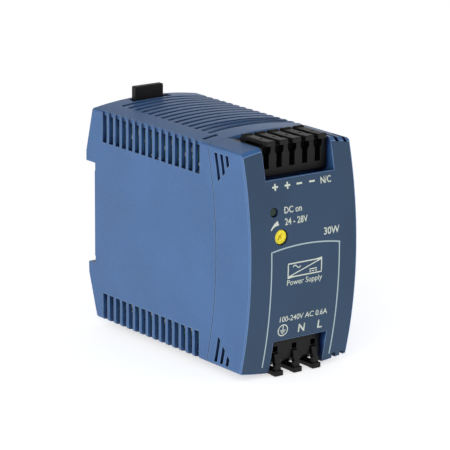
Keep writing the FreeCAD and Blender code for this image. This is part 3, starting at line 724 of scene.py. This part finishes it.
def solder_side():
    """Rows of solder joints on the side of the main board that the left vents show."""
    rng = random.Random(7)
    low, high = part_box("main_board")
    bm = bmesh.new()
    x = low.x + SOLDER_ROOT * MM
    y = low.y + SOLDER_FIRST * MM
    while y < high.y - SOLDER_LAST * MM:
        for z in SOLDER_ROWS:
            if rng.random() < SOLDER_CHANCE:
                shift = rng.uniform(-0.7, 0.7) * MM
                size = rng.uniform(0.55, 0.95) * MM
                dome(bm, x, y + shift, z * MM + rng.uniform(-0.5, 0.5) * MM, size, size * 0.75, 1.15)
        y += SOLDER_PITCH * MM
    for face in bm.faces:
        face.smooth = len(face.verts) <= 4
    finish_piece("solder_joints", mesh_from(bm, "solder_joints"), SOLDER)


# ---------------------------------------------------------------- studio
SKY_LOW = (1.0, 1.0, 1.0, 1)
SKY_HIGH = (0.28, 0.28, 0.28, 1)
PAPER_DARK = (0.86, 0.86, 0.86, 1)
PAPER_LIGHT = (0.88, 0.88, 0.88, 1)
FLOOR_HALF = 6.0

# Name, place in metres, side of the square in metres, and power in watts.
SOFTBOXES = (
    ("key_softbox", (-0.42, -0.42, 0.30), 0.35, 1.0),
    ("fill_softbox", (0.75, -0.65, 0.35), 0.6, 0.8),
)


def studio():
    floor_z = cad_box[0].z
    bm = bmesh.new()
    bmesh.ops.create_grid(bm, x_segments=8, y_segments=8, size=FLOOR_HALF)
    for v in bm.verts:
        v.co.z = floor_z
    mesh = mesh_from(bm, "floor")
    look = Look("floor_paper", Roughness=0.9, Emission_Color=(1, 1, 1, 1), Emission_Strength=0.62)
    fibres = look.noise(PAPER_FIBRES, 3)
    look.link(look.ramp(fibres, 0.3, 0.7, PAPER_DARK, PAPER_LIGHT), "Base Color")
    mesh.materials.append(look.material)
    floor = bpy.data.objects.new("floor", mesh)
    bpy.context.scene.collection.objects.link(floor)

    world = bpy.data.worlds.new("studio")
    bpy.context.scene.world = world
    world.use_nodes = True
    tree = world.node_tree
    background = tree.nodes["Background"]
    background.inputs["Strength"].default_value = 1.0
    direction = tree.nodes.new("ShaderNodeTexCoord").outputs["Generated"]
    parts = tree.nodes.new("ShaderNodeSeparateXYZ")
    tree.links.new(direction, parts.inputs["Vector"])
    sweep = tree.nodes.new("ShaderNodeValToRGB")
    tree.links.new(parts.outputs["Z"], sweep.inputs["Fac"])
    elements = sweep.color_ramp.elements
    elements[0].position = 0.2
    elements[0].color = SKY_LOW
    elements[1].position = 0.6
    elements[1].color = SKY_HIGH
    tree.links.new(sweep.outputs["Color"], background.inputs["Color"])

    middle = (cad_box[0] + cad_box[1]) / 2
    for name, place, size, power in SOFTBOXES:
        light = bpy.data.lights.new(name, "AREA")
        light.shape = "SQUARE"
        light.size = size
        light.energy = power
        lamp = bpy.data.objects.new(name, light)
        bpy.context.scene.collection.objects.link(lamp)
        lamp.location = Vector(place)
        lamp.rotation_euler = (middle - Vector(place)).to_track_quat("-Z", "Y").to_euler()


# ---------------------------------------------------------------- camera
CAMERA_AZIMUTH = math.radians(-36.42)
CAMERA_ELEVATION = math.radians(14.58)
CAMERA_ROLL = math.radians(0.37)
CAMERA_DISTANCE = 1.0104
CAMERA_TARGET = Vector((0.00118, -0.045, 0.00176))
CAMERA_LENS = 234.97
SENSOR = 36.0


def camera():
    az = CAMERA_AZIMUTH
    el = CAMERA_ELEVATION
    back = Vector((math.sin(az) * math.cos(el), -math.cos(az) * math.cos(el), math.sin(el)))
    level = Vector((math.cos(az), math.sin(az), 0))
    up = back.cross(level)
    right = level * math.cos(CAMERA_ROLL) + up * math.sin(CAMERA_ROLL)
    top = -level * math.sin(CAMERA_ROLL) + up * math.cos(CAMERA_ROLL)
    data = bpy.data.cameras.new("camera")
    data.lens = CAMERA_LENS
    data.sensor_width = SENSOR
    data.clip_start = 0.01
    data.clip_end = 50.0
    view = bpy.data.objects.new("camera", data)
    bpy.context.scene.collection.objects.link(view)
    turn = Matrix((right, top, back)).transposed().to_4x4()
    view.matrix_world = Matrix.Translation(CAMERA_TARGET + back * CAMERA_DISTANCE) @ turn
    bpy.context.scene.camera = view


dress_frame()
prints()
return_spring()
solder_side()
studio()
camera()
bpy.context.scene.view_settings.view_transform = "Standard"
